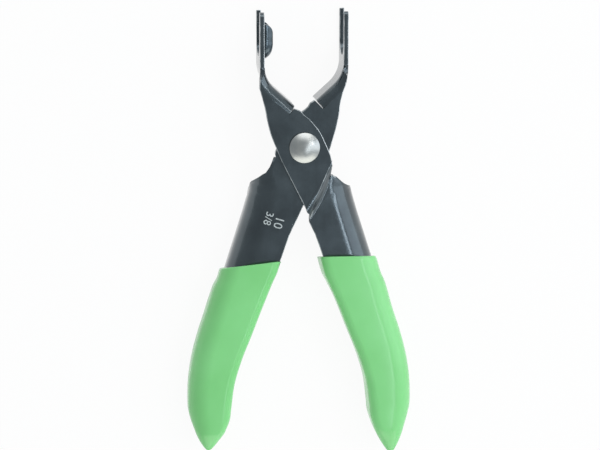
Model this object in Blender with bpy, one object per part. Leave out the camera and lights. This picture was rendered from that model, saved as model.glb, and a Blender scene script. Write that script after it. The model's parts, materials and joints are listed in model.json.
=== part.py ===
import math

import bmesh
import bpy
from mathutils import Vector

# Sheet and pivot
sheet = 0.0020
gap = 0.0003
rest_to_top = 0.0184
hole_radius = 0.0033
head_radius = 0.0064
head_height = 0.0026
head_rim = 0.0005
tail_radius = 0.0050
tail_height = 0.0017
washer_radius = 0.0066
washer_thickness = 0.0010

# Jaws, measured from the pivot axis
front_half_width = 0.0185
rear_half_width = 0.0189
front_jaw_reach = 0.0566
rear_jaw_lead = 0.0005
front_root_clearance = 0.0018
rear_root_clearance = 0.0012
front_edge_drop = 0.0012
rear_edge_drop = 0.0001
throat_corner_radius = 0.0130
throat_bend_radius = 0.0042
root_bend_radius = 0.0027
throat_lean_degrees = 48
fold_opens_degrees = 20
fold_open_degrees = 4
front_tightens_degrees = 36
front_tight_degrees = 12
rear_tightens_degrees = 44
rear_tight_degrees = 24
front_throat_end = 0.0165
rear_throat_end = 0.0184
tip_corner_radius = 0.0024
relief_width = 0.0001
boss_radius = 0.0102

# Slot and collar, on one axis across both jaws
slot_setback = 0.0128
slot_depth = 0.0103
slot_radius = 0.0060
mouth_flare = 0.0005
bore_radius = 0.0050
collar_radius = 0.0074
collar_reach = 0.0035
collar_nose_radius = 0.0054
collar_arm = 0.0078
collar_nose_arm = 0.0036

# Handles and grips
roll_radius = 0.0073
tang_reach = 0.1225
tang_spread = 0.0460
leg_depth = 0.0141
front_shoulder = 0.0122
rear_shoulder = 0.0044
front_shoulder_length = 0.0105
rear_shoulder_length = 0.0165
front_outset = -0.0006
rear_outset = 0.0003
front_plain_set = 0.0012
rear_plain_set = 0.0
grip_wall = 0.0022
front_grip_cover = 0.0753
rear_grip_cover = 0.0726
front_rim_slant = -0.0002
rear_rim_slant = -0.0026
rim_rake = 0.0037
front_tip_overhang = 0.0137
rear_tip_overhang = 0.0113
front_grip_outset = -0.0014
rear_grip_outset = 0.0009
front_grip_inset = -0.0006
rear_grip_inset = 0.0019
grip_roof_radius = 0.0085
grip_edge_radius = 0.0036
grip_tip_lean = 0.0008

# Levels, counted down from the front lever's upper face
front_level = rest_to_top
rear_level = rest_to_top - sheet - gap
handle_level = rear_level

# Heights and reaches that follow from the sizes above
rear_jaw_reach = front_jaw_reach + rear_jaw_lead
slot_height = front_jaw_reach - slot_setback
front_root_height = slot_height - collar_radius - front_root_clearance
rear_root_height = slot_height - collar_radius - rear_root_clearance
merge_distance = gap / 300

# Outlines as shares: x of the half width or the spread, y of the root height or the tang's reach
front_edge_shares = [(-1.02, 0.725), (-0.970, 0.635), (-0.900, 0.490), (-0.838, 0.318), (-0.773, 0.173),
                     (-0.627, -0.026), (-0.524, -0.159), (-0.395, -0.301)]
rear_edge_shares = [(-0.960, 0.770), (-0.925, 0.710), (-0.884, 0.653), (-0.825, 0.530), (-0.790, 0.380),
                    (-0.704, 0.170), (-0.593, -0.028), (-0.519, -0.153), (-0.386, -0.295)]
lower_edge_shares = [(0.0065, -0.209), (0.078, -0.267), (0.133, -0.310), (0.202, -0.384), (0.272, -0.449),
                     (0.335, -0.490), (0.445, -0.580), (0.530, -0.665), (0.620, -0.751), (0.690, -0.841),
                     (0.730, -0.930), (0.745, -1.0)]
outer_line_shares = [(0.438, -0.082), (0.463, -0.127), (0.486, -0.172), (0.541, -0.245), (0.611, -0.327),
                     (0.667, -0.392), (0.715, -0.449), (0.761, -0.490), (0.826, -0.580), (0.898, -0.665),
                     (0.957, -0.751), (0.996, -0.841), (0.998, -0.930), (0.974, -1.0)]
front_boss_shares = [(0.255, 1.137), (0.43, 0.93), (0.637, 0.657), (0.843, 0.245), (1.02, -0.167),
                     (1.09, -0.343)]
rear_boss_shares = [(0.255, 1.196), (0.49, 0.912), (0.735, 0.588), (0.951, 0.245), (1.118, -0.03),
                    (1.196, -0.235)]
step_top_shares = [(1.14, -0.70), (1.00, -0.94), (0.91, -1.14), (0.81, -1.39), (0.65, -1.76), (0.44, -2.24),
                   (0.16, -2.78)]
step_low_shares = [(1.18, -1.08), (1.07, -1.24), (1.00, -1.41), (0.91, -1.65), (0.78, -1.96), (0.58, -2.42),
                   (0.25, -2.93)]

# The tab beside the throat's end, as shares of the boss radius: along the fold past its end, and outwards
front_tab_shares = [(0.0, 0.02), (0.25, 0.11), (0.45, 0.09)]
rear_tab_shares = [(0.02, 0.20), (0.24, 0.24), (0.41, 0.18), (0.56, 0.18), (0.71, 0.20)]

# The grip's tip: share of its length and of its width, and the shoulder: share of its height and of the roll
grip_tip_shares = [(0.2, 0.88), (0.4, 0.73), (0.6, 0.56), (0.78, 0.38), (0.9, 0.24), (0.97, 0.13),
                   (1.0, 0.05)]
front_shoulder_shares = [(0.0, 0.05), (0.14, 0.10), (0.27, 0.15), (0.40, 0.21), (0.53, 0.29), (0.63, 0.38),
                         (0.70, 0.47), (0.77, 0.58), (0.84, 0.72), (0.91, 0.88), (1.0, 1.0)]
rear_shoulder_shares = [(0.0, 0.05), (0.15, 0.07), (0.27, 0.09), (0.40, 0.145), (0.50, 0.20), (0.60, 0.27),
                        (0.70, 0.37), (0.77, 0.47), (0.84, 0.60), (0.91, 0.78), (1.0, 1.0)]
grip_outer_shares = [(0.719, -0.380), (0.769, -0.449), (0.812, -0.490), (0.879, -0.580), (0.952, -0.665),
                     (1.012, -0.751), (1.051, -0.841), (1.056, -0.930), (1.038, -0.971), (0.995, -1.016)]
grip_inner_shares = [(0.165, -0.380), (0.209, -0.449), (0.255, -0.490), (0.355, -0.580), (0.441, -0.665),
                     (0.533, -0.751), (0.604, -0.841), (0.637, -0.930), (0.647, -0.971), (0.684, -1.016)]
throat_row_shares = [1.0, 0.75, 0.5, 0.25]
tip_row_shares = [1.0, 0.55, 0.25, 0.08, 0.0]
nose_shares = [0.2, 0.4, 0.56, 0.7, 0.81, 0.9, 0.96, 0.99]
corner_fit_share = 0.48
mouth_start_share = 0.6

# Smoothness
bend_rows = 6
roll_rows = 7
round_steps = 48
corner_steps = 4
throat_rows = 16
dome_rows = 8
tail_rows = 5
rim_rows = 3


def clear_scene():
    for item in list(bpy.data.objects):
        bpy.data.objects.remove(item, do_unlink=True)


def material(name, colour, roughness, metallic):
    made = bpy.data.materials.new(name)
    made.use_nodes = True
    shader = made.node_tree.nodes["Principled BSDF"]
    shader.inputs["Base Color"].default_value = (*colour, 1.0)
    shader.inputs["Roughness"].default_value = roughness
    shader.inputs["Metallic"].default_value = metallic
    return made


def finish(bm, name, surface, smooth=False):
    bmesh.ops.recalc_face_normals(bm, faces=bm.faces)
    mesh = bpy.data.meshes.new(name)
    bm.to_mesh(mesh)
    bm.free()
    made = bpy.data.objects.new(name, mesh)
    bpy.context.scene.collection.objects.link(made)
    if surface:
        mesh.materials.append(surface)
    if smooth:
        mesh.polygons.foreach_set("use_smooth", [True] * len(mesh.polygons))
    return made


def apply_modifiers(thing):
    graph = bpy.context.evaluated_depsgraph_get()
    mesh = bpy.data.meshes.new_from_object(thing.evaluated_get(graph))
    thing.modifiers.clear()
    thing.data = mesh


def cut(thing, cutter):
    step = thing.modifiers.new("cut", 'BOOLEAN')
    step.operation = 'DIFFERENCE'
    step.solver = 'EXACT'
    step.object = cutter
    apply_modifiers(thing)
    bpy.data.objects.remove(cutter, do_unlink=True)


def smooth_line(points, steps):
    """Points along the smooth curve that passes through the given ones."""
    ends = [points[0] * 2 - points[1]] + points + [points[-1] * 2 - points[-2]]
    line = [points[0]]
    for a, b, c, d in zip(ends, ends[1:], ends[2:], ends[3:]):
        for i in range(1, steps + 1):
            t = i / steps
            line.append(0.5 * (2 * b + (c - a) * t + (2 * a - 5 * b + 4 * c - d) * t ** 2
                               + (3 * b - a - 3 * c + d) * t ** 3))
    return line


def left_normals(line):
    """Unit normals on the left of a plan line."""
    found = []
    for i in range(len(line)):
        along = (line[min(i + 1, len(line) - 1)] - line[max(i - 1, 0)]).normalized()
        found.append(Vector((-along.y, along.x)))
    return found


def faded(value, first, last):
    """Nought where the value is at the first limit, one at the last, and between them in step."""
    return min(max((value - first) / (last - first), 0.0), 1.0)


def throat_columns(side):
    """Plan points and outward normals of the jaw flange's middle layer, from the throat's end to the tip."""
    middle_radius = throat_corner_radius + sheet / 2
    centre = Vector((-side["half_width"] + sheet + throat_corner_radius, side["root"]))
    lean = math.radians(throat_lean_degrees)
    columns = []
    outward = Vector((math.cos(lean), math.sin(lean)))
    foot = centre - outward * middle_radius
    along = Vector((outward.y, -outward.x))
    length = max((foot.y - side["throat_end"]) / outward.x, sheet)
    for share in throat_row_shares:
        columns.append((foot + along * length * share, outward, throat_bend_radius, 0.0))
    for i in range(throat_rows + 1):
        degrees = throat_lean_degrees * (1 - i / throat_rows)
        turn = math.radians(degrees)
        outward = Vector((math.cos(turn), math.sin(turn)))
        tight = faded(degrees, *side["tightens"])
        opened = faded(degrees, fold_opens_degrees, fold_open_degrees)
        radius = throat_bend_radius + (root_bend_radius - throat_bend_radius) * tight
        columns.append((centre - outward * middle_radius, outward, radius, opened))
    strip = centre.x - middle_radius
    for share in tip_row_shares:
        height = side["reach"] - tip_corner_radius * share
        columns.append((Vector((strip, height)), Vector((1.0, 0.0)), root_bend_radius, 1.0))
    return columns


def flange_profile(middle, outward, bend_radius, opened, side):
    """One column of the jaw flange: over the bend and down to the resting level."""
    radius = (bend_radius - sheet / 2) * (1 - opened) + gap * opened
    start = math.pi / 2 * opened
    layer = side["level"] - sheet / 2
    lift = opened * (sheet / 2 - side["edge_drop"])
    inset = tip_corner_radius + middle.y - side["reach"]
    if inset > 0:
        inset = tip_corner_radius - math.sqrt(max(tip_corner_radius ** 2 - inset ** 2, 0.0))
    inset = max(inset, 0.0)
    rows = []
    for i in range(bend_rows + 1):
        turn = start + (math.pi / 2 - start) * i / bend_rows
        back = radius * (1 - math.sin(turn))
        drop = radius * (1 - math.cos(turn))
        fade = 1 - i / bend_rows
        height = layer - drop + lift * fade - opened * i / bend_rows * sheet - inset
        rows.append(Vector((middle.x - outward.x * back, middle.y - outward.y * back, height)))
    rows.append(Vector((middle.x, middle.y, inset)))
    return rows


def roll_profile(start, outward, length):
    """One column of the handle's rolled side: round the roll and down its leg."""
    radius = roll_radius - sheet / 2
    bend = math.pi / 2 * radius
    layer = handle_level - sheet / 2
    rows = []
    for i in range(roll_rows + 1):
        turn = min(length, bend) / radius * i / roll_rows
        out = radius * math.sin(turn)
        rows.append(Vector((start.x + outward.x * out, start.y + outward.y * out,
                            layer - radius * (1 - math.cos(turn)))))
    last = rows[-1]
    drop = max(length - bend, gap * min(length / bend, 1.0))
    slope = min(length / bend, 1.0) * math.pi / 2
    aside = drop * math.cos(slope)
    rows.append(Vector((last.x + outward.x * aside, last.y + outward.y * aside,
                        last.z - drop * math.sin(slope))))
    return rows


def add_grid(bm, columns):
    rows = [[bm.verts.new(point) for point in column] for column in columns]
    for a, b in zip(rows, rows[1:]):
        for i in range(len(a) - 1):
            bm.faces.new((a[i], a[i + 1], b[i + 1], b[i]))
    return rows


def handle_lines(side):
    """The handle's plain edge, and the plan line where its roll starts with the outward normals."""
    first, *others = [Vector((x * tang_spread, y * tang_reach)) for x, y in lower_edge_shares]
    plain = smooth_line([first] + [p - Vector((side["plain_set"], 0.0)) for p in others], 2)
    outer = smooth_line([Vector((x * tang_spread + side["outset"], y * tang_reach))
                         for x, y in outer_line_shares], 3)
    outward = left_normals(outer)
    start = [p - n * roll_radius for p, n in zip(outer, outward)]
    return plain, start, outward


def roll_columns(start, outward, side, extra):
    """Columns of the roll, the first of them shortened where the shoulder is cut away."""
    full = math.pi / 2 * (roll_radius - sheet / 2) + leg_depth - roll_radius + extra
    columns = []
    for share, length_share in side["shoulder_line"]:
        height = -side["shoulder"] - side["shoulder_length"] * share
        i = next(k for k in range(1, len(start)) if start[k].y < height)
        t = (start[i - 1].y - height) / (start[i - 1].y - start[i].y)
        point = start[i - 1].lerp(start[i], t)
        columns.append(roll_profile(point, outward[i - 1].lerp(outward[i], t), full * length_share))
    lowest = -side["shoulder"] - side["shoulder_length"]
    for point, normal in zip(start, outward):
        if point.y < lowest - sheet / 2:
            columns.append(roll_profile(point, normal, full))
    return columns


def plan_points(shares, width, height):
    return [Vector((x * width, y * height)) for x, y in shares]


def lever(name, surface, side):
    """One folded stamping: plate, throat flange and jaw strip, and the rolled handle; then thickened."""
    bm = bmesh.new()
    layer = side["level"] - sheet / 2
    low_layer = handle_level - sheet / 2
    columns = throat_columns(side)
    grid = add_grid(bm, [flange_profile(*column, side) for column in columns])
    fold = [grid[i][0] for i, column in enumerate(columns) if column[3] == 0.0]
    flange_end, outward = columns[0][0], columns[0][1]
    along = Vector((outward.y, -outward.x))
    fold_end = flange_end - outward * (throat_bend_radius - sheet / 2) + along * relief_width
    tab = [flange_end + along * (relief_width + x * boss_radius) + outward * y * boss_radius
           for x, y in side["tab"]]
    boss = smooth_line(tab[-1:] + plan_points(side["boss"], boss_radius, boss_radius), 3)
    upper = smooth_line(plan_points(side["edge"], side["half_width"], side["root"]), 3)
    plain, start, normals = handle_lines(side)
    rolled = add_grid(bm, roll_columns(start, normals, side, 0.0))
    step_top = plan_points(step_top_shares, boss_radius, boss_radius)
    step_low = plan_points(step_low_shares, boss_radius, boss_radius)

    def ring(points, height):
        return [bm.verts.new((p.x, p.y, height)) for p in points]

    high_edge = ring(upper, layer)
    boss_edge = ring([fold_end] + tab[:-1] + boss, layer)
    roll_edge = [column[0] for column in rolled]
    if side["joggled"]:
        top_line = ring(step_top, layer)
        low_line = ring(step_low, low_layer)
        inner_high = ring([p for p in plain if p.y > step_top[-1].y], layer)
        inner_low = ring([p for p in plain if p.y < step_low[-1].y - sheet / 2], low_layer)
        bm.faces.new(fold + high_edge + inner_high + top_line[::-1] + boss_edge[::-1])
        for i in range(len(top_line) - 1):
            bm.faces.new((top_line[i], top_line[i + 1], low_line[i + 1], low_line[i]))
        bm.faces.new(inner_low + roll_edge[::-1] + low_line)
    else:
        inner = ring(plain, layer)
        bm.faces.new(fold + high_edge + inner + roll_edge[::-1] + boss_edge[::-1])
    for vert in bm.verts:
        vert.co.x *= side["hand"]
    made = finish(bm, name, surface)
    thick = made.modifiers.new("thickness", 'SOLIDIFY')
    thick.thickness = sheet
    thick.offset = 0.0
    thick.use_even_offset = True
    thick.use_quality_normals = True
    apply_modifiers(made)
    return made


def rod(radius, x, y, low, high, steps=round_steps):
    """A plain round cutter along Z."""
    bm = bmesh.new()
    bmesh.ops.create_cone(bm, cap_ends=True, segments=steps, radius1=radius, radius2=radius, depth=high - low)
    bmesh.ops.translate(bm, verts=bm.verts, vec=(x, y, (high + low) / 2))
    return finish(bm, "rod", None)


def slot_outline(radius, top, flare):
    """A U lying in the jaw's plane: half round below, straight up to the mouth."""
    shoulder = slot_height + top * mouth_start_share
    points = [Vector((slot_height + top, -radius - flare)), Vector((shoulder, -radius))]
    for i in range(round_steps // 2 + 1):
        turn = -math.pi / 2 - math.pi * i / (round_steps // 2)
        points.append(Vector((slot_height + radius * math.cos(turn), radius * math.sin(turn))))
    points += [Vector((shoulder, radius)), Vector((slot_height + top, radius + flare))]
    return points


def layers_to_mesh(name, surface, layers, level):
    """A closed body through layers, each an x and an outline in the jaw's plane."""
    bm = bmesh.new()
    rings = [[bm.verts.new((x, p.x, level + p.y)) for p in outline] for x, outline in layers]
    for a, b in zip(rings, rings[1:]):
        for i in range(len(a)):
            j = (i + 1) % len(a)
            bm.faces.new((a[i], a[j], b[j], b[i]))
    bm.faces.new(rings[0][::-1])
    bm.faces.new(rings[-1])
    return finish(bm, name, surface)


def lathe(name, surface, profile):
    """A body turned round the pivot axis from a half outline running top to bottom."""
    bm = bmesh.new()
    verts = [bm.verts.new((radius, 0.0, height)) for radius, height in profile]
    edges = [bm.edges.new(pair) for pair in zip(verts, verts[1:])]
    bmesh.ops.spin(bm, geom=verts + edges, cent=(0.0, 0.0, 0.0), axis=(0.0, 0.0, 1.0),
                   angle=math.tau, steps=round_steps, use_merge=True)
    bmesh.ops.remove_doubles(bm, verts=bm.verts, dist=merge_distance)
    return finish(bm, name, surface, smooth=True)


def grip_section(inner, outer, height, top, bottom, shrink):
    """A rounded section of the grip at one height, wide radius over the roll."""
    half = (top - bottom) / 2
    middle = (top + bottom) / 2
    top, bottom = middle + half * shrink, middle - half * shrink
    width = outer - inner
    fit = min(width, top - bottom) * corner_fit_share
    corners = [(outer, top, -1, -1, min(grip_roof_radius * shrink, fit), 0),
               (inner, top, 1, -1, min(grip_edge_radius, fit), 90),
               (inner, bottom, 1, 1, min(grip_edge_radius, fit), 180),
               (outer, bottom, -1, 1, min(grip_edge_radius, fit), 270)]
    points = []
    for x, z, to_x, to_z, radius, first in corners:
        for i in range(corner_steps + 2):
            turn = math.radians(first + 90 * i / (corner_steps + 1))
            points.append(Vector((x + to_x * radius + radius * math.cos(turn), height,
                                  z + to_z * radius + radius * math.sin(turn))))
    return points


def begun_at(line, height):
    """The line from a height on, drawn out straight where it starts lower."""
    while line[1].y > height:
        line = line[1:]
    t = (line[0].y - height) / (line[0].y - line[1].y)
    return [line[0].lerp(line[1], t)] + line[1:]


def grip(name, surface, side):
    """A vinyl sleeve: rounded sections down the handle, a blunt tip, and a pocket of the tang's own shape."""
    begin = tang_reach - side["cover"]
    outer = plan_points(grip_outer_shares, tang_spread, tang_reach)
    inner = plan_points(grip_inner_shares, tang_spread, tang_reach)
    outer = [p + Vector((side["grip_outset"], 0.0)) for p in outer]
    inner = [p + Vector((side["grip_inset"], 0.0)) for p in inner]
    outer = smooth_line(begun_at(outer, -begin), 2)
    inner = smooth_line(begun_at(inner, -begin), 2)
    top = handle_level + grip_wall
    sections = [(b.x, a.x, a.y, 1.0) for a, b in zip(outer, inner)]
    last_inner, last_outer, last_height, _ = sections[-1]
    length = tang_reach + side["overhang"] + last_height
    middle = (last_outer + last_inner) / 2
    for share, keep in grip_tip_shares:
        half = (last_outer - last_inner) / 2 * keep
        centre = middle + grip_tip_lean * share
        sections.append((centre - half, centre + half, last_height - length * share, (1 + keep) / 2))
    bm = bmesh.new()
    rings = []
    for first, second, height, keep in sections:
        points = grip_section(first, second, height, top, 0.0, keep)
        fade = max(1 - len(rings) / rim_rows, 0.0)
        for p in points:
            p.y += fade * side["slant"] * ((p.x - first) / (second - first) - 1 / 2)
            p.y -= fade * rim_rake * (1 - p.z / top)
        rings.append([bm.verts.new((side["hand"] * p.x, p.y, p.z)) for p in points])
    for a, b in zip(rings, rings[1:]):
        for i in range(len(a)):
            j = (i + 1) % len(a)
            bm.faces.new((a[i], a[j], b[j], b[i]))
    bm.faces.new(rings[0][::-1])
    bm.faces.new(rings[-1])
    made = finish(bm, name, surface, smooth=True)

    bm = bmesh.new()
    plain, start, normals = handle_lines(side)
    mouth = -begin + sheet * 3
    kept = [column for column in roll_columns(start, normals, side, gap) if column[0].y < mouth]
    kept[-1] = [p + Vector((0.0, -gap, 0.0)) for p in kept[-1]]
    rolled = add_grid(bm, kept)
    inside = [p - n * gap for p, n in zip(plain, left_normals(plain)) if p.y < mouth]
    inside[-1].y -= gap
    verts = [bm.verts.new((p.x, p.y, handle_level - sheet / 2)) for p in inside]
    bm.faces.new(verts + [column[0] for column in rolled][::-1])
    for vert in bm.verts:
        vert.co.x *= side["hand"]
    pocket = finish(bm, "pocket", None)
    thick = pocket.modifiers.new("thickness", 'SOLIDIFY')
    thick.thickness = sheet + gap * 2
    thick.offset = 0.0
    thick.use_even_offset = True
    apply_modifiers(pocket)
    cut(made, pocket)
    return made


clear_scene()
steel = material("blackened_steel", (0.045, 0.060, 0.068), 0.38, 0.75)
plating = material("bright_plating", (0.78, 0.79, 0.76), 0.16, 1.0)
zinc = material("zinc_plating", (0.55, 0.57, 0.58), 0.30, 1.0)
bush = material("black_bush", (0.035, 0.040, 0.045), 0.35, 0.6)
vinyl = material("green_vinyl", (0.225, 0.685, 0.215), 0.28, 0.0)

front_side = {"hand": 1.0, "joggled": True, "level": front_level, "half_width": front_half_width,
              "root": front_root_height, "throat_end": front_throat_end, "reach": front_jaw_reach,
              "edge_drop": front_edge_drop, "edge": front_edge_shares, "boss": front_boss_shares,
              "tab": front_tab_shares, "shoulder": front_shoulder, "shoulder_length": front_shoulder_length,
              "shoulder_line": front_shoulder_shares,
              "outset": front_outset, "plain_set": front_plain_set, "cover": front_grip_cover,
              "slant": front_rim_slant, "overhang": front_tip_overhang, "grip_outset": front_grip_outset,
              "grip_inset": front_grip_inset, "tightens": (front_tightens_degrees, front_tight_degrees)}
rear_side = {"hand": -1.0, "joggled": False, "level": rear_level, "half_width": rear_half_width,
             "root": rear_root_height, "throat_end": rear_throat_end, "reach": rear_jaw_reach,
             "edge_drop": rear_edge_drop, "edge": rear_edge_shares, "boss": rear_boss_shares,
             "tab": rear_tab_shares, "shoulder": rear_shoulder, "shoulder_length": rear_shoulder_length,
             "shoulder_line": rear_shoulder_shares,
             "outset": rear_outset, "plain_set": rear_plain_set, "cover": rear_grip_cover,
             "slant": rear_rim_slant, "overhang": rear_tip_overhang, "grip_outset": rear_grip_outset,
             "grip_inset": rear_grip_inset, "tightens": (rear_tightens_degrees, rear_tight_degrees)}

# The two stamped levers: one folded outline, the front one stepped down past the rear one
front = lever("front_lever", steel, front_side)
rear = lever("rear_lever", steel, rear_side)

# Rivet hole and the open slot in each jaw
for plate in (front, rear):
    cut(plate, rod(hole_radius, 0.0, 0.0, rest_to_top - sheet * 4, rest_to_top + sheet))
slot_level = rest_to_top - slot_depth
for plate, side in ((front, front_side), (rear, rear_side)):
    mouth = slot_outline(slot_radius, side["reach"] - slot_height + sheet, mouth_flare)
    near = -side["hand"] * (side["half_width"] - sheet * 3 / 2)
    far = -side["hand"] * (side["half_width"] + sheet / 2)
    cut(plate, layers_to_mesh("slot", None, [(near, mouth), (far, mouth)], slot_level))

# Release collar: a spigot in the front jaw's slot and a tapering horseshoe nose towards the rear jaw
spigot_radius = slot_radius - gap
face = -front_half_width + sheet + gap
spigot = slot_outline(spigot_radius, collar_arm - gap, 0.0)
layers = [(-front_half_width, spigot), (face, spigot), (face, slot_outline(collar_radius, collar_arm, 0.0))]
for share in nose_shares:
    keep = math.sqrt(1 - share ** 2)
    radius = collar_nose_radius + (collar_radius - collar_nose_radius) * keep
    arm = collar_nose_arm + (collar_arm - collar_nose_arm) * keep
    layers.append((face + collar_reach * share, slot_outline(radius, arm, 0.0)))
collar = layers_to_mesh("release_collar", bush, layers, slot_level)
bore = slot_outline(bore_radius, collar_arm + sheet, 0.0)
bore_ends = [(-front_half_width - sheet, bore), (face + collar_reach + sheet, bore)]
cut(collar, layers_to_mesh("bore", None, bore_ends, slot_level))

# Rivet: low domed head above the front lever, shank through both, formed tail under the washer
shank_radius = hole_radius - gap
head_low = front_level + gap
tail_top = rear_level - sheet - washer_thickness - gap * 2
profile = [(0.0, head_low + head_height)]
for i in range(1, dome_rows + 1):
    turn = math.pi / 2 * i / dome_rows
    height = head_low + head_rim + (head_height - head_rim) * math.cos(turn)
    profile.append((head_radius * math.sin(turn), height))
profile += [(head_radius, head_low), (shank_radius, head_low)]
profile += [(shank_radius, tail_top), (tail_radius, tail_top)]
for i in range(1, tail_rows):
    turn = math.pi / 2 * i / tail_rows
    profile.append((tail_radius * math.cos(turn), tail_top - tail_height * math.sin(turn)))
profile.append((0.0, tail_top - tail_height))
lathe("pivot_rivet", plating, profile)

# Washer between the rear lever and the formed tail
washer_top = rear_level - sheet - gap
washer = lathe("tail_washer", zinc, [(0.0, washer_top), (washer_radius, washer_top),
                                     (washer_radius, washer_top - washer_thickness),
                                     (0.0, washer_top - washer_thickness)])
cut(washer, rod(hole_radius, 0.0, 0.0, washer_top - sheet, washer_top + sheet))

# Vinyl sleeves
grip("front_grip", vinyl, front_side)
grip("rear_grip", vinyl, rear_side)

# Every piece keeps its own origin on the pivot axis; the tool's footprint is centred on the world origin
pieces = list(bpy.data.objects)
spots = [vert.co for thing in pieces for vert in thing.data.vertices]
middle_x = (min(spot.x for spot in spots) + max(spot.x for spot in spots)) / 2
middle_y = (min(spot.y for spot in spots) + max(spot.y for spot in spots)) / 2
for thing in pieces:
    thing.location = (-middle_x, -middle_y, 0.0)
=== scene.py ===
import json
import math

import bmesh
import bpy
from mathutils import Matrix, Vector


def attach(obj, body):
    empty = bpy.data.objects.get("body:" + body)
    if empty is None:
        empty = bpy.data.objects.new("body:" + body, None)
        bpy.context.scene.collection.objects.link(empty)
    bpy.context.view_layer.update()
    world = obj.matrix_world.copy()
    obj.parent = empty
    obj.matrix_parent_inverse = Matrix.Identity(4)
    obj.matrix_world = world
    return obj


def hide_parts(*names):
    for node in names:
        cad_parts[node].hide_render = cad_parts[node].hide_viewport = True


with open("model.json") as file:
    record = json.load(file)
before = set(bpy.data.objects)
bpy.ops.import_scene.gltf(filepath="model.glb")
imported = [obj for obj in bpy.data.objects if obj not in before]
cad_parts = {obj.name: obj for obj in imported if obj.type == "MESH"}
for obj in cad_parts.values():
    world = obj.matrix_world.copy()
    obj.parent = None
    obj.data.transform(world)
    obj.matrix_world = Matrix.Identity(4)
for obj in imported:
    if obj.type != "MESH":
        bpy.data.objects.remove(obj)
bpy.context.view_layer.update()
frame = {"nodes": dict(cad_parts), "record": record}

# Levers
# Each lever is one stamping of 2 mm spring-steel sheet, pierced, folded and then blackened. The front one is
# stepped down past the rear one. Tumbling rounded the cut edges and rubbed them brighter than the flats; that paler
# colour is partly rubbed steel and partly a painted highlight along the edges.
PIVOT = Vector((*frame["record"]["behaviour"]["joints"][0]["pos_m"][:2], 0.0))
WELD = 0.000002
FLAT_DEGREES = 1.2
# Cut edges: the round that tumbling left and its facets, how sharp an edge has to be to count as cut, and how
# many widths of the round its neighbours need to hold it
CUT_EDGE_ROUND = 0.00030
ROUND_FACETS = 2
CUT_FROM_DEGREES = 52
ROOM_FOR_ROUND = 2.2
# The step past the rear lever: its gentler edges get a wider round and less rubbing and painted highlight, and it
# lies here in plan
STEP_FROM_DEGREES = 28
STEP_ROUND_SHARE = 2.4
STEP_RUB_AND_HIGHLIGHT = 0.15
STEP_INSIDE = 0.0135
STEP_BELOW = -0.004
# Corners that the tumbling hardly reached, the shoulders, as boxes in plan
FRONT_KEPT_SHARP = ((0.0160, 0.0240, -0.0220, -0.0140),)
REAR_KEPT_SHARP = ((-0.0240, -0.0160, -0.0220, -0.0140),)
# The handle's rolled side in millimetres: its outside in plan from the pivot, how far out each lever's own lies
# from that, and how far it is rolled, in degrees, at each height of its shoulder
HANDLE_OUTSIDE = ((20.1, -10.0), (21.3, -15.6), (22.4, -21.1), (24.9, -30.0), (28.1, -40.1), (30.7, -48.0),
                  (32.9, -55.0), (35.0, -60.0), (38.0, -71.0), (41.3, -81.5), (44.0, -92.0), (45.8, -103.0),
                  (45.9, -113.9), (44.8, -122.5))
OUTSIDE_STEPS = 3
FRONT_OUTSET = -0.6
REAR_OUTSET = 0.3
FRONT_SHOULDER = ((-12.2, 7.6), (-13.7, 15.2), (-15.0, 22.8), (-16.4, 31.9), (-17.8, 44.0), (-18.8, 57.7),
                  (-19.6, 71.4), (-20.3, 90.0))
REAR_SHOULDER = ((-4.4, 7.6), (-6.9, 10.6), (-8.9, 13.7), (-11.0, 22.0), (-12.7, 30.4), (-14.3, 41.0),
                 (-16.0, 56.2), (-17.1, 71.4), (-18.3, 90.0))
# The roll's own radius in the solid, and how much wider it turns here
HANDLE_TOP = 0.0161
LEG_DEPTH = 0.0141
ROLL_RADIUS = 0.0073
ROLL_SLACK = 0.00004
ROLL_WIDER_BY = 0.0035
ROLL_WIDENS_FROM = -0.009
ROLL_WIDENS_OVER = 0.008
# The shoulder's free edge comes in lower: by how much, from where beside the pivot, and over what lengths
FRONT_LOWERED = 0.0011
REAR_LOWERED = 0.0
SHOULDER_FROM = 0.0123
SHOULDER_OVER = 0.0010
LOWERED_OVER = 0.0045
# The finish's patterns: clouds in the oxide, rolling marks across, along and deep, patches in the rubbed and
# highlight-painted edges, and grain
OXIDE_CLOUD_MM = 14.3
ROLLING_MARK_MM = (1.11, 25.0, 5.0)
RUB_AND_HIGHLIGHT_PATCH_MM = 3.85
STEEL_GRAIN_MM = 0.714


def linear(hex_colour):
    """An sRGB hex colour as the linear values that a shader takes, with full alpha."""
    parts = [int(hex_colour[i:i + 2], 16) / 255 for i in (1, 3, 5)]
    return tuple(p / 12.92 if p <= 0.04045 else ((p + 0.055) / 1.055) ** 2.4 for p in parts) + (1.0,)


def add_node(tree, kind, settings=None, links=None):
    """One node with its settings, by property, socket or ramp stops, and its links from other nodes' sockets."""
    node = tree.nodes.new(kind)
    for name, value in (settings or {}).items():
        if name == "stops":
            (low, low_colour), *between, (high, high_colour) = value
            ends = node.color_ramp.elements
            ends[1].position, ends[1].color = high, linear(high_colour)
            ends[0].position, ends[0].color = low, linear(low_colour)
            for place, colour in between:
                ends.new(place).color = linear(colour)
        elif isinstance(name, str) and name in node.bl_rna.properties:
            setattr(node, name, value)
        else:
            node.inputs[name].default_value = value
    for name, source in (links or {}).items():
        tree.links.new(source, node.inputs[name])
    return node


def new_material(name):
    """A material with its node tree and its shader."""
    made = bpy.data.materials.new(name)
    made.use_nodes = True
    return made, made.node_tree, made.node_tree.nodes["Principled BSDF"]


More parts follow.
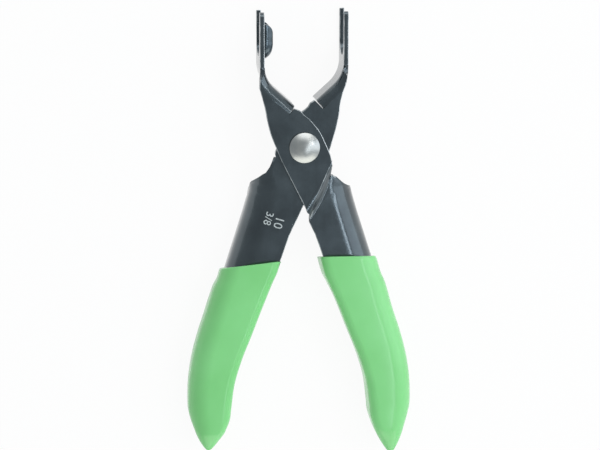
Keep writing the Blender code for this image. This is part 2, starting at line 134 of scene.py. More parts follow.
def blackened_steel():
    """Hot-blackened spring steel: a thin blue-black oxide, oiled to a soft gloss, cloudy where it grew unevenly,
    with the sheet's faint rolling marks (drawn 1 mm wide, coarser than real) and paler, barer steel where the
    edges were rubbed, a colour that also serves as a painted highlight along the edges."""
    made, tree, shader = new_material("blackened_spring_steel")
    place = add_node(tree, "ShaderNodeTexCoord").outputs["Object"]
    cloud = add_node(tree, "ShaderNodeTexNoise",
                     {"Scale": 1000 / OXIDE_CLOUD_MM, "Detail": 5.0, "Roughness": 0.6},
                     {"Vector": place}).outputs["Fac"]
    oxide = add_node(tree, "ShaderNodeValToRGB",
                     {"stops": [(0.32, "#434c51"), (0.50, "#4a5459"), (0.70, "#535d62")]},
                     {"Fac": cloud}).outputs["Color"]
    along = add_node(tree, "ShaderNodeMapping", {"Scale": [1000 / size for size in ROLLING_MARK_MM]},
                     {"Vector": place})
    rolled = add_node(tree, "ShaderNodeTexNoise", {"Scale": 1.0, "Detail": 3.0},
                      {"Vector": along.outputs["Vector"]}).outputs["Fac"]
    edge = add_node(tree, "ShaderNodeAttribute", {"attribute_name": "rubbed_edge"}).outputs["Fac"]
    patches = add_node(tree, "ShaderNodeTexNoise", {"Scale": 1000 / RUB_AND_HIGHLIGHT_PATCH_MM, "Detail": 4.0},
                       {"Vector": place}).outputs["Fac"]
    broken = add_node(tree, "ShaderNodeMapRange",
                      {"From Min": 0.35, "From Max": 0.62, "To Min": 0.30, "To Max": 0.95},
                      {"Value": patches}).outputs["Result"]
    rub_and_highlight = add_node(tree, "ShaderNodeMath", {"operation": "MULTIPLY"}, {0: edge, 1: broken}).outputs["Value"]
    # The rounded edges turn pale steel grey: partly rubbed bare steel, partly a painted highlight along the edges.
    mixed = add_node(tree, "ShaderNodeMix", {"data_type": "RGBA", 7: linear("#c3c9cb")}, {0: rub_and_highlight, 6: oxide})
    tree.links.new(mixed.outputs[2], shader.inputs["Base Color"])
    smooth = add_node(tree, "ShaderNodeMapRange",
                      {"From Min": 0.3, "From Max": 0.7, "To Min": 0.19, "To Max": 0.26},
                      {"Value": cloud}).outputs["Result"]
    streak = add_node(tree, "ShaderNodeMapRange",
                      {"From Min": 0.3, "From Max": 0.7, "To Min": -0.01, "To Max": 0.02},
                      {"Value": rolled}).outputs["Result"]
    rough = add_node(tree, "ShaderNodeMath", {"operation": "ADD"}, {0: smooth, 1: streak})
    tree.links.new(rough.outputs["Value"], shader.inputs["Roughness"])
    bare = add_node(tree, "ShaderNodeMapRange", {"To Min": 0.85, "To Max": 0.35}, {"Value": rub_and_highlight})
    tree.links.new(bare.outputs["Result"], shader.inputs["Metallic"])
    shader.inputs["Coat Weight"].default_value = 0.7
    shader.inputs["Coat Roughness"].default_value = 0.12
    grain = add_node(tree, "ShaderNodeTexNoise", {"Scale": 1000 / STEEL_GRAIN_MM, "Detail": 2.0},
                     {"Vector": place}).outputs["Fac"]
    bump = add_node(tree, "ShaderNodeBump", {"Strength": 0.06, "Distance": 0.00003}, {"Height": grain})
    tree.links.new(bump.outputs["Normal"], shader.inputs["Normal"])
    return made


def show(name, mesh, finish):
    """A new object of the mesh, in one finish, at the origin."""
    mesh.name = name
    mesh.materials.clear()
    mesh.materials.append(finish)
    made = bpy.data.objects.new(name, mesh)
    bpy.context.scene.collection.objects.link(made)
    return made


def round_off(bm, layer, from_degrees, to_degrees, width, rub_and_highlight, within):
    """Rounds the edges in a range of angles and a part of the plan, but not where their neighbours are too short
    to hold the round, and writes how far the new faces are rubbed and painted with a highlight."""
    sharp = {edge for edge in bm.edges if edge.is_manifold
             and math.radians(from_degrees) < edge.calc_face_angle() <= math.radians(to_degrees)
             and all(within(vert.co - PIVOT) for vert in edge.verts)}
    tight = {vert for edge in sharp for vert in edge.verts
             if any(other.calc_length() < width * (1.0 if other in sharp else ROOM_FOR_ROUND)
                    for other in vert.link_edges)}
    held = [edge for edge in sharp if not tight.intersection(edge.verts)]
    held.sort(key=lambda edge: edge.index)
    for face in bmesh.ops.bevel(bm, geom=held, offset=width, offset_type='OFFSET', segments=ROUND_FACETS,
                                profile=0.5, affect='EDGES', clamp_overlap=False)["faces"]:
        face[layer] = rub_and_highlight


def on_the_step(spot):
    """Whether a place from the pivot is on the front lever's step."""
    return 0 < spot.x < STEP_INSIDE and spot.y < STEP_BELOW


def rounded_copy(node_name, name, width, finish, reshape, kept_sharp=(), whole_flats=True):
    """The CAD solid as one joined mesh, reshaped, whose sharp edges are rounded, but not inside the given boxes in
    plan. The rounded faces carry a share of rubbing and painted highlight. Without whole_flats the end of a bush
    doesn't close over its bore."""
    mesh = frame["nodes"][node_name].data.copy()
    bm = bmesh.new()
    bm.from_mesh(mesh)
    bmesh.ops.remove_doubles(bm, verts=bm.verts, dist=WELD)
    if whole_flats:
        bmesh.ops.dissolve_limit(bm, angle_limit=math.radians(FLAT_DEGREES), verts=bm.verts, edges=bm.edges)
    bmesh.ops.recalc_face_normals(bm, faces=bm.faces)
    for vert in bm.verts:
        reshape(vert)
    bm.normal_update()
    # Each rounded face's share of rubbing and painted edge highlight
    layer = bm.faces.layers.float.new("rubbed_edge")
    round_off(bm, layer, STEP_FROM_DEGREES, CUT_FROM_DEGREES, width * STEP_ROUND_SHARE, STEP_RUB_AND_HIGHLIGHT, on_the_step)
    round_off(bm, layer, CUT_FROM_DEGREES, 180, width, 1.0,
              lambda spot: not any(x0 < spot.x < x1 and y0 < spot.y < y1 for x0, x1, y0, y1 in kept_sharp))
    for face in bm.faces:
        face.smooth = True
    bm.to_mesh(mesh)
    bm.free()
    return show(name, mesh, finish)


def weight_normals(thing):
    """Flat faces keep flat shading beside their rounded edges."""
    step = thing.modifiers.new("weighting", 'WEIGHTED_NORMAL')
    step.keep_sharp = True
    graph = bpy.context.evaluated_depsgraph_get()
    shape = bpy.data.meshes.new_from_object(thing.evaluated_get(graph))
    thing.modifiers.clear()
    thing.data = shape


def smooth_through(points, steps):
    """Points along the smooth curve that passes through the given ones."""
    ends = [points[0] * 2 - points[1]] + points + [points[-1] * 2 - points[-2]]
    line = [points[0]]
    for a, b, c, d in zip(ends, ends[1:], ends[2:], ends[3:]):
        for i in range(1, steps + 1):
            t = i / steps
            line.append(0.5 * (2 * b + (c - a) * t + (2 * a - 5 * b + 4 * c - d) * t ** 2
                               + (3 * b - a - 3 * c + d) * t ** 3))
    return line


def wider_roll(hand, outset, shoulder, lowered):
    """A function that moves a vertex of the handle so that its rolled side turns on a wider radius. Its outside
    stays, and the shoulder comes in lower. The hand is 1 for a handle at the right and -1 for one at the left."""
    line = smooth_through([Vector((x + outset, y)) / 1000 for x, y in HANDLE_OUTSIDE], OUTSIDE_STEPS)
    low = shoulder[-1][0] / 1000

    def reshape(vert):
        spot = Vector((hand * (vert.co.x - PIVOT.x), vert.co.y - PIVOT.y))
        fade = min(max((ROLL_WIDENS_FROM - spot.y) / ROLL_WIDENS_OVER, 0.0), 1.0)
        if fade == 0.0:
            return
        inward, nearest, outwards = min(measure(spot, a, b) for a, b in zip(line, line[1:]))
        out = ROLL_RADIUS - inward
        rise = vert.co.z - (HANDLE_TOP - ROLL_RADIUS)
        if out < -ROLL_SLACK:
            return
        more = ROLL_WIDER_BY * fade
        if rise > -ROLL_SLACK:
            radius, turn = math.hypot(out, rise), math.atan2(out, rise)
            full = math.radians(rolled_degrees(spot.y * 1000, shoulder))
            wide = math.asin(min((radius * math.sin(full) + more) / (radius + more), 1.0))
            turn *= wide / full
            out, rise = (radius + more) * math.sin(turn) - more, (radius + more) * math.cos(turn) - more
        else:
            rise -= more * (1 + rise / (LEG_DEPTH - ROLL_RADIUS))
        moved = Vector(nearest) + Vector(outwards) * (out - ROLL_RADIUS)
        beside = min(max((moved.x - SHOULDER_FROM) / SHOULDER_OVER, 0.0), 1.0)
        moved.y -= lowered * beside * min(max((moved.y - low) / LOWERED_OVER, 0.0), 1.0)
        vert.co = (PIVOT.x + hand * moved.x, PIVOT.y + moved.y, HANDLE_TOP - ROLL_RADIUS + rise)

    return reshape


def rolled_degrees(height, shoulder):
    """How far round the sheet is rolled at a height on the handle, from the shoulder's table."""
    for (top, less), (low, more) in zip(shoulder, shoulder[1:]):
        if height > low:
            return less + (more - less) * min(max((top - height) / (top - low), 0.0), 1.0)
    return shoulder[-1][1]


def measure(spot, a, b):
    """How far a plan point lies inside one stretch of the outside line, with the nearest point and the way out."""
    along = (b - a).normalized()
    t = min(max((spot - a).dot(along), 0.0), (b - a).length)
    nearest = a + along * t
    return (spot - nearest).length, tuple(nearest), (-along.y, along.x)


steel = blackened_steel()
levers = {}
for node_name, body, hand, outset, shoulder, lowered, kept_sharp in (
        ("front_lever", "collar_side", 1.0, FRONT_OUTSET, FRONT_SHOULDER, FRONT_LOWERED, FRONT_KEPT_SHARP),
        ("rear_lever", "fork_side", -1.0, REAR_OUTSET, REAR_SHOULDER, REAR_LOWERED, REAR_KEPT_SHARP)):
    lever = rounded_copy(node_name, node_name + "_stamping", CUT_EDGE_ROUND, steel,
                         wider_roll(hand, outset, shoulder, lowered), kept_sharp)
    weight_normals(lever)
    levers[node_name] = lever
    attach(lever, body)
    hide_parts(node_name)

# Size marks
# Two plain numbers lasered into the rear handle beside the rivet, the line sizes that the tool is for. The
# laser leaves a thin light grey skin, flush with the steel.
MARK_SKIN = 0.00002
MARK_LEVEL = HANDLE_TOP + MARK_SKIN
MARK_TURN_DEGREES = -108
# Each mark's name, text, letter size and middle from the pivot in plan
MARKS = (("mark_ten", "10", 0.0054, (-0.0108, -0.0323)),
         ("mark_three_eighths", "3/8", 0.0046, (-0.0152, -0.0304)))
LASER_FLECK_MM = 0.667
# Laser-annealed steel: the beam turned the black oxide into a dull light grey that hardly shines, with the fleck
# of its pulses (drawn 0.7 mm across, coarser than real).
lasered, tree, shader = new_material("lasered_steel")
place = add_node(tree, "ShaderNodeTexCoord").outputs["Object"]
fleck = add_node(tree, "ShaderNodeTexNoise", {"Scale": 1000 / LASER_FLECK_MM, "Detail": 2.0},
                 {"Vector": place}).outputs["Fac"]
skin = add_node(tree, "ShaderNodeValToRGB", {"stops": [(0.35, "#a9b1b3"), (0.65, "#c9d0d0")]}, {"Fac": fleck})
tree.links.new(skin.outputs["Color"], shader.inputs["Base Color"])
rough = add_node(tree, "ShaderNodeMapRange", {"From Min": 0.3, "From Max": 0.7, "To Min": 0.50, "To Max": 0.65},
                 {"Value": fleck})
tree.links.new(rough.outputs["Result"], shader.inputs["Roughness"])
shader.inputs["Metallic"].default_value = 0.2
for name, text, size, centre in MARKS:
    letters = bpy.data.curves.new(name, 'FONT')
    letters.body = text
    letters.size = size
    letters.align_x = 'CENTER'
    letters.align_y = 'CENTER'
    letters.resolution_u = 4
    source = bpy.data.objects.new(name + "_outline", letters)
    bpy.context.scene.collection.objects.link(source)
    mesh = bpy.data.meshes.new_from_object(source.evaluated_get(bpy.context.evaluated_depsgraph_get()))
    bpy.data.objects.remove(source, do_unlink=True)
    turn = Matrix.Rotation(math.radians(MARK_TURN_DEGREES), 4, 'Z')
    mesh.transform(Matrix.Translation(PIVOT + Vector((*centre, MARK_LEVEL))) @ turn)
    mark = show(name, mesh, lasered)
    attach(mark, "fork_side")

# Pivot rivet
# A cold-headed steel rivet with a low domed head, barrel-plated in bright nickel; its tail was spun down over
# the washer to hold the levers together.
FRONT_TOP = 0.0184
HEAD_LIFT = 0.0003
HEAD_SEAT = FRONT_TOP + HEAD_LIFT
TAIL_SEAT = 0.0125
RIVET_SIZES = {"Head Radius": 0.0064, "Head Dome": 0.0021, "Head Rim": 0.0005, "Head Seat": HEAD_SEAT,
               "Shank Radius": 0.0030, "Tail Radius": 0.0050, "Tail Dome": 0.0014, "Tail Rim": 0.0003,
               "Tail Seat": TAIL_SEAT}
HEAD_SEGMENTS = 96
HEAD_RINGS = 48
SHANK_SEGMENTS = 64
# What lies above this level of the unit ball, just under its widest ring, is lifted by the rim, and the rest is
# pressed flat on the seat
LIFTED_ABOVE = -0.01
KEPT_SHARP_DEGREES = 38
NICKEL_HAZE_MM = 3.33
NICKEL_PIT_MM = 0.556
# Barrel-plated bright nickel: a slightly warm, pale metal whose tumbled skin spreads a highlight into a soft
# glow, a little hazier in places, with faint pits (drawn 0.6 mm across, coarser than real).
nickel, tree, shader = new_material("bright_nickel_plating")
place = add_node(tree, "ShaderNodeTexCoord").outputs["Object"]
haze = add_node(tree, "ShaderNodeTexNoise", {"Scale": 1000 / NICKEL_HAZE_MM, "Detail": 4.0},
                {"Vector": place}).outputs["Fac"]
tint = add_node(tree, "ShaderNodeValToRGB", {"stops": [(0.35, "#b0b3b2"), (0.65, "#bcbebb")]}, {"Fac": haze})
tree.links.new(tint.outputs["Color"], shader.inputs["Base Color"])
rough = add_node(tree, "ShaderNodeMapRange", {"From Min": 0.3, "From Max": 0.7, "To Min": 0.30, "To Max": 0.38},
                 {"Value": haze})
tree.links.new(rough.outputs["Result"], shader.inputs["Roughness"])
shader.inputs["Metallic"].default_value = 1.0
pits = add_node(tree, "ShaderNodeTexNoise", {"Scale": 1000 / NICKEL_PIT_MM, "Detail": 2.0},
                {"Vector": place}).outputs["Fac"]
bump = add_node(tree, "ShaderNodeBump", {"Strength": 0.04, "Distance": 0.00004}, {"Height": pits})
tree.links.new(bump.outputs["Normal"], shader.inputs["Normal"])

# The rivet's rule: two balls are pressed into a low dome with an upright rim, one upwards and one downwards, and
# joined with the shank.
rivet_tree = bpy.data.node_groups.new("headed_rivet", 'GeometryNodeTree')
sockets = {}
for name, value in RIVET_SIZES.items():
    socket = rivet_tree.interface.new_socket(name, in_out='INPUT', socket_type='NodeSocketFloat')
    socket.default_value = value
    sockets[name] = socket.identifier
socket = rivet_tree.interface.new_socket("Finish", in_out='INPUT', socket_type='NodeSocketMaterial')
sockets["Finish"] = socket.identifier
rivet_tree.interface.new_socket("Rivet", in_out='OUTPUT', socket_type='NodeSocketGeometry')
sizes = add_node(rivet_tree, "NodeGroupInput").outputs
shells = []
for end, way in (("Head", 1.0), ("Tail", -1.0)):
    ball = add_node(rivet_tree, "GeometryNodeMeshUVSphere",
                    {"Segments": HEAD_SEGMENTS, "Rings": HEAD_RINGS, "Radius": 1.0})
    spot = add_node(rivet_tree, "GeometryNodeInputPosition").outputs["Position"]
    x, y, z = add_node(rivet_tree, "ShaderNodeSeparateXYZ", links={0: spot}).outputs
    upper = add_node(rivet_tree, "ShaderNodeMath", {"operation": "MAXIMUM", 1: 0.0}, {0: z}).outputs[0]
    domed = add_node(rivet_tree, "ShaderNodeMath", {"operation": "POWER", 1: 2.0}, {0: upper}).outputs[0]
    raised = add_node(rivet_tree, "ShaderNodeMath", {"operation": "GREATER_THAN", 1: LIFTED_ABOVE},
                      {0: z}).outputs[0]
    rise = add_node(rivet_tree, "ShaderNodeMath", {"operation": "MULTIPLY"},
                    {0: domed, 1: sizes[end + " Dome"]}).outputs[0]
    height = add_node(rivet_tree, "ShaderNodeMath", {"operation": "MULTIPLY_ADD"},
                      {0: raised, 1: sizes[end + " Rim"], 2: rise}).outputs[0]
    level = add_node(rivet_tree, "ShaderNodeMath", {"operation": "MULTIPLY_ADD", 1: way},
                     {0: height, 2: sizes[end + " Seat"]}).outputs[0]
    wide = add_node(rivet_tree, "ShaderNodeMath", {"operation": "MULTIPLY"},
                    {0: x, 1: sizes[end + " Radius"]}).outputs[0]
    deep = add_node(rivet_tree, "ShaderNodeMath", {"operation": "MULTIPLY"},
                    {0: y, 1: sizes[end + " Radius"]}).outputs[0]
    place = add_node(rivet_tree, "ShaderNodeCombineXYZ", links={0: wide, 1: deep, 2: level}).outputs[0]
    shaped = add_node(rivet_tree, "GeometryNodeSetPosition", links={"Geometry": ball.outputs["Mesh"],
                                                                    "Position": place}).outputs["Geometry"]
    if way < 0:
        shaped = add_node(rivet_tree, "GeometryNodeFlipFaces", links={"Mesh": shaped}).outputs["Mesh"]
    shells.append(shaped)
length = add_node(rivet_tree, "ShaderNodeMath", {"operation": "SUBTRACT"},
                  {0: sizes["Head Seat"], 1: sizes["Tail Seat"]}).outputs[0]
middle = add_node(rivet_tree, "ShaderNodeMath", {"operation": "MULTIPLY_ADD", 1: 0.5},
                  {0: length, 2: sizes["Tail Seat"]}).outputs[0]
overlap = add_node(rivet_tree, "ShaderNodeMath", {"operation": "ADD"},
                   {0: length, 1: sizes["Head Rim"]}).outputs[0]
shank = add_node(rivet_tree, "GeometryNodeMeshCylinder", {"Vertices": SHANK_SEGMENTS},
                 {"Radius": sizes["Shank Radius"], "Depth": overlap}).outputs["Mesh"]
centred = add_node(rivet_tree, "ShaderNodeCombineXYZ", links={"Z": middle}).outputs[0]
shank = add_node(rivet_tree, "GeometryNodeTransform", links={"Geometry": shank, "Translation": centred})
whole = add_node(rivet_tree, "GeometryNodeMeshBoolean", {"operation": "UNION", "solver": 'EXACT'})
for shell in (*shells, shank.outputs["Geometry"]):
    rivet_tree.links.new(shell, whole.inputs["Mesh 2"])
real = add_node(rivet_tree, "GeometryNodeRealizeInstances", links={0: whole.outputs["Mesh"]})
plated = add_node(rivet_tree, "GeometryNodeSetMaterial", links={"Geometry": real.outputs[0],
                                                                "Material": sizes["Finish"]})
add_node(rivet_tree, "NodeGroupOutput", links={"Rivet": plated.outputs["Geometry"]})

source = bpy.data.objects.new("rivet_source", bpy.data.meshes.new("rivet_source"))
bpy.context.scene.collection.objects.link(source)
step = source.modifiers.new("headed_rivet", 'NODES')
step.node_group = rivet_tree
for name, value in RIVET_SIZES.items():
    step[sockets[name]] = value
step[sockets["Finish"]] = nickel
mesh = bpy.data.meshes.new_from_object(source.evaluated_get(bpy.context.evaluated_depsgraph_get()))
bpy.data.objects.remove(source, do_unlink=True)
mesh.transform(Matrix.Translation(PIVOT))
mesh.polygons.foreach_set("use_smooth", [True] * len(mesh.polygons))
mesh.set_sharp_from_angle(angle=math.radians(KEPT_SHARP_DEGREES))
rivet = show("rivet_turned", mesh, nickel)
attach(rivet, "fork_side")
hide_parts("pivot_rivet")

# Tail washer
# A plain washer stamped from 1 mm sheet steel and zinc-plated, held against the rear lever's back by the spun
# tail. The stamping rounded its edges a little.
WASHER_RADIUS = 0.0066
WASHER_HOLE = 0.0033
WASHER_TOP = 0.0138
WASHER_THICKNESS = 0.0010
WASHER_ROUND = 0.00015
# How far the middle of a rounded corner lies from the sharp one, as a share of the round
CORNER_CUT_SHARE = 0.3
WASHER_STEPS = 96
ZINC_SPANGLE_MM = 1.43
# Zinc plating on stamped steel: a cold, pale metal in fine spangles, some duller than others.
zinc, tree, shader = new_material("zinc_plated_washer")
place = add_node(tree, "ShaderNodeTexCoord").outputs["Object"]
spangle = add_node(tree, "ShaderNodeTexVoronoi", {"Scale": 1000 / ZINC_SPANGLE_MM},
                   {"Vector": place}).outputs["Distance"]
tint = add_node(tree, "ShaderNodeValToRGB", {"stops": [(0.1, "#9fa3a6"), (0.6, "#b9bcbe")]}, {"Fac": spangle})
tree.links.new(tint.outputs["Color"], shader.inputs["Base Color"])
rough = add_node(tree, "ShaderNodeMapRange", {"From Max": 0.6, "To Min": 0.28, "To Max": 0.42},
                 {"Value": spangle})
tree.links.new(rough.outputs["Result"], shader.inputs["Roughness"])
shader.inputs["Metallic"].default_value = 1.0
bump = add_node(tree, "ShaderNodeBump", {"Strength": 0.08, "Distance": 0.00003}, {"Height": spangle})
tree.links.new(bump.outputs["Normal"], shader.inputs["Normal"])
outline = []
for radius, level, inward, down in ((WASHER_HOLE, WASHER_TOP, 1, 1), (WASHER_RADIUS, WASHER_TOP, -1, 1),
                                    (WASHER_RADIUS, WASHER_TOP - WASHER_THICKNESS, -1, -1),
                                    (WASHER_HOLE, WASHER_TOP - WASHER_THICKNESS, 1, -1)):
    beside = Vector((radius + inward * WASHER_ROUND, level))
    below = Vector((radius, level - down * WASHER_ROUND))
    cut = WASHER_ROUND * CORNER_CUT_SHARE
    between = Vector((radius + inward * cut, level - down * cut))
    outline += [beside, between, below] if inward * down < 0 else [below, between, beside]
bm = bmesh.new()
verts = [bm.verts.new((PIVOT.x + point.x, PIVOT.y, point.y)) for point in outline]
edges = [bm.edges.new(pair) for pair in zip(verts, verts[1:] + verts[:1])]
bmesh.ops.spin(bm, geom=verts + edges, cent=PIVOT, axis=(0, 0, 1), angle=math.tau, steps=WASHER_STEPS,
               use_merge=True)
bmesh.ops.remove_doubles(bm, verts=bm.verts, dist=WELD)
bmesh.ops.recalc_face_normals(bm, faces=bm.faces)
mesh = bpy.data.meshes.new("washer")
bm.to_mesh(mesh)
bm.free()
mesh.polygons.foreach_set("use_smooth", [True] * len(mesh.polygons))
washer = show("washer_stamping", mesh, zinc)
weight_normals(washer)
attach(washer, "fork_side")
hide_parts("tail_washer")

# Release collar
# A turned steel bush with a slot milled through one side, blackened like the levers and pressed into the front
# jaw's slot; its nose tapers towards the closed end.
COLLAR_ROUND = 0.00018
COLLAR_FACE = -0.0162
COLLAR_CENTRE = 0.0438
COLLAR_RADIUS = 0.0074
COLLAR_TAPER = 0.9
TURNING_RING_MM = (0.385, 8.33, 8.33)
COLLAR_PATCH_MM = 6.25
# Hot-blackened turned steel: darker than the levers where the oxide took well, glossy, and crossed by the fine
# rings that the lathe left (drawn 0.4 mm apart, coarser than real).
collar_steel, tree, shader = new_material("blackened_turned_bush")
place = add_node(tree, "ShaderNodeTexCoord").outputs["Object"]
across = add_node(tree, "ShaderNodeMapping", {"Scale": [1000 / size for size in TURNING_RING_MM]},
                  {"Vector": place})
rings = add_node(tree, "ShaderNodeTexNoise", {"Scale": 1.0, "Detail": 2.0},
                 {"Vector": across.outputs["Vector"]}).outputs["Fac"]
patches = add_node(tree, "ShaderNodeTexNoise", {"Scale": 1000 / COLLAR_PATCH_MM, "Detail": 4.0},
                   {"Vector": place}).outputs["Fac"]
tint = add_node(tree, "ShaderNodeValToRGB", {"stops": [(0.35, "#3a4448"), (0.65, "#56626a")]}, {"Fac": patches})
tree.links.new(tint.outputs["Color"], shader.inputs["Base Color"])
rough = add_node(tree, "ShaderNodeMapRange", {"From Min": 0.3, "From Max": 0.7, "To Min": 0.14, "To Max": 0.22},
                 {"Value": rings})
tree.links.new(rough.outputs["Result"], shader.inputs["Roughness"])
shader.inputs["Metallic"].default_value = 0.6
bump = add_node(tree, "ShaderNodeBump", {"Strength": 0.10, "Distance": 0.00004}, {"Height": rings})
tree.links.new(bump.outputs["Normal"], shader.inputs["Normal"])


def tapered_nose(vert):
    """The nose reaches out less towards the bush's closed end, as a dome would."""
    out = vert.co.x - PIVOT.x - COLLAR_FACE
    below = (COLLAR_CENTRE - (vert.co.y - PIVOT.y)) / COLLAR_RADIUS
    if out > 0 and below > 0:
        vert.co.x -= out * (1 - math.sqrt(max(1 - below ** 2, 0.0))) * COLLAR_TAPER


collar = rounded_copy("release_collar", "collar_bush", COLLAR_ROUND, collar_steel, tapered_nose,
                      whole_flats=False)
weight_normals(collar)
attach(collar, "collar_side")
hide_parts("release_collar")

# Grips
# Soft PVC sleeves, dip-moulded in glossy light green and pushed over the handles; thick-walled, rounder over the
# outer side, with a blunt point at the end and a cut rim whose edge is slightly softened.
GRIP_TOP = 0.0183
GRIP_ROOF_ROUND = 0.0085
GRIP_SIDE_ROUND = 0.0040
GRIP_RIM_ROUND = 0.0006
# The widest corner that fits, as a share of the section's smaller side, and the corner's facets
CORNER_FIT_SHARE = 0.48
CORNER_STEPS = 10
# The pocket's room round the handle, and how far that may stretch at a sharp corner
GRIP_POCKET_GAP = 0.0003
POCKET_STRETCH = 2.0
# The rim leans back towards the underside and across, over this length of the sleeve
RIM_RAKE = 0.0037
RAKED_LENGTH = 0.020
FRONT_SLANT = -0.0002
REAR_SLANT = -0.0026
RIM_DEGREES = (0, 22.5, 45, 67.5)
STATION_STEPS = 5
# Stations down each sleeve from the pivot: distance, inner side and outer side, in millimetres
FRONT_GRIP = ((-47.2, 7.2, 31.9), (-55.0, 9.0, 34.0), (-60.0, 11.1, 36.0), (-71.1, 15.7, 39.0),
              (-81.5, 19.7, 42.4), (-92.0, 23.9, 45.2), (-103.0, 27.2, 46.88), (-113.9, 28.7, 47.18),
              (-118.9, 29.2, 46.3), (-124.5, 30.9, 44.4))
REAR_GRIP = ((-49.9, 9.6, 35.1), (-55.0, 11.3, 36.3), (-60.0, 13.6, 38.3), (-71.1, 18.2, 41.3),
             (-81.5, 22.2, 44.7), (-92.0, 26.4, 47.5), (-103.0, 29.7, 49.18), (-113.9, 31.2, 49.48),
             (-118.9, 31.9, 48.6), (-124.0, 33.9, 46.8))
# The blunt tips in millimetres: where each ends, how far it leans out, and how much of the last station's
# width is left at each share of its length
FRONT_TIP = -136.2
REAR_TIP = -132.5
TIP_LEAN = 0.8
TIP_SHARES = ((0.10, 0.945), (0.2, 0.88), (0.3, 0.81), (0.4, 0.73), (0.5, 0.65), (0.6, 0.56), (0.7, 0.46),
              (0.78, 0.38), (0.84, 0.31), (0.9, 0.24), (0.94, 0.185), (0.97, 0.13), (0.99, 0.085), (1.0, 0.05))
VINYL_TONE_MM = 31.25
VINYL_SKIN_MM = 9.09


def sleeve_ring(inner, outer, keep, inset):
    """A section of the sleeve with rounded corners: points across and up, widest round over the outer side."""
    half = GRIP_TOP / 2 * keep - inset
    low, high = GRIP_TOP / 2 - half, GRIP_TOP / 2 + half
    inner, outer = inner + inset, outer - inset
    fit = min(outer - inner, high - low) * CORNER_FIT_SHARE
    corners = ((outer, high, -1, -1, min(GRIP_ROOF_ROUND * keep, fit), 0),
               (inner, high, 1, -1, min(GRIP_SIDE_ROUND, fit), 90),
               (inner, low, 1, 1, min(GRIP_SIDE_ROUND, fit), 180),
               (outer, low, -1, 1, min(GRIP_SIDE_ROUND, fit), 270))
    ring = []
    for x, z, to_x, to_z, radius, first in corners:
        for i in range(CORNER_STEPS + 1):
            turn = math.radians(first + 90 * i / CORNER_STEPS)
            ring.append((x + radius * (to_x + math.cos(turn)), z + radius * (to_z + math.sin(turn))))
    return ring


def sleeve(name, stations, tip, slant, hand):
    """The outside of one sleeve, closed at both ends: softened rim, long curved body and blunt tip."""
    line = smooth_through([Vector(station) / 1000 for station in stations], STATION_STEPS)
    sections = [(height, inner, outer, 1.0, 0.0) for height, inner, outer in line]
    height, inner, outer = line[-1]
    for share, keep in TIP_SHARES:
        half = (outer - inner) / 2 * keep
        centre = (outer + inner) / 2 + TIP_LEAN / 1000 * share
        sections.append((height + (tip / 1000 - height) * share, centre - half, centre + half,
                         (1 + keep) / 2, 0.0))
    top, inner, outer, _, _ = sections[0]
    rim = []
    for degrees in RIM_DEGREES:
        turn = math.radians(degrees)
        rim.append((top - GRIP_RIM_ROUND * (1 - math.cos(turn)), inner, outer, 1.0,
                    GRIP_RIM_ROUND * (1 - math.sin(turn))))
    sections = rim + [(top - GRIP_RIM_ROUND, inner, outer, 1.0, 0.0)] + sections[1:]
    bm = bmesh.new()
    rings = []
    for height, inner, outer, keep, inset in sections:
        fade = max(1 - (top - height) / RAKED_LENGTH, 0.0)
        ring = []
        for x, z in sleeve_ring(inner, outer, keep, inset):
            y = height + fade * (slant * ((x - inner) / (outer - inner) - 0.5) - RIM_RAKE * (1 - z / GRIP_TOP))
            ring.append(bm.verts.new((PIVOT.x + hand * x, PIVOT.y + y, z)))
        rings.append(ring)
    for a, b in zip(rings, rings[1:]):
        for i in range(len(a)):
            j = (i + 1) % len(a)
            bm.faces.new((a[i], a[j], b[j], b[i]))
    bm.faces.new(rings[0][::-1])
    bm.faces.new(rings[-1])
    bmesh.ops.recalc_face_normals(bm, faces=bm.faces)
    mesh = bpy.data.meshes.new(name)
    bm.to_mesh(mesh)
    bm.free()
    return mesh


def grown_copy(lever, gap):
    """The lever swollen by a gap all round, to cut the room that it needs."""
    mesh = lever.data.copy()
    bm = bmesh.new()
    bm.from_mesh(mesh)
    moved = [(vert, vert.co + vert.normal * gap * min(vert.calc_shell_factor(), POCKET_STRETCH))
             for vert in bm.verts]
    for vert, spot in moved:
        vert.co = spot
    bm.to_mesh(mesh)
    bm.free()
    made = bpy.data.objects.new(lever.name + "_room", mesh)
    bpy.context.scene.collection.objects.link(made)
    return made


# Dip-moulded soft vinyl: an even light green with a soft gloss, slightly see-through at the thin edges. From the
# dipping bath its colour drifts over about 30 mm, and its gloss and skin over about 9 mm.
vinyl, tree, shader = new_material("dip_moulded_vinyl")
place = add_node(tree, "ShaderNodeTexCoord").outputs["Object"]
tone = add_node(tree, "ShaderNodeTexNoise", {"Scale": 1000 / VINYL_TONE_MM, "Detail": 3.0},
                {"Vector": place}).outputs["Fac"]
green = add_node(tree, "ShaderNodeValToRGB", {"stops": [(0.3, "#80d181"), (0.7, "#8cdc8f")]}, {"Fac": tone})
tree.links.new(green.outputs["Color"], shader.inputs["Base Color"])
skin = add_node(tree, "ShaderNodeTexNoise", {"Scale": 1000 / VINYL_SKIN_MM, "Detail": 2.0},
                {"Vector": place}).outputs["Fac"]
rough = add_node(tree, "ShaderNodeMapRange", {"From Min": 0.3, "From Max": 0.7, "To Min": 0.17, "To Max": 0.24},
                 {"Value": skin})
tree.links.new(rough.outputs["Result"], shader.inputs["Roughness"])
shader.inputs["Specular IOR Level"].default_value = 0.40
shader.inputs["Subsurface Weight"].default_value = 0.10
shader.inputs["Subsurface Radius"].default_value = (0.5, 1.0, 0.5)
shader.inputs["Subsurface Scale"].default_value = 0.0015
bump = add_node(tree, "ShaderNodeBump", {"Strength": 0.04, "Distance": 0.0002}, {"Height": skin})
tree.links.new(bump.outputs["Normal"], shader.inputs["Normal"])
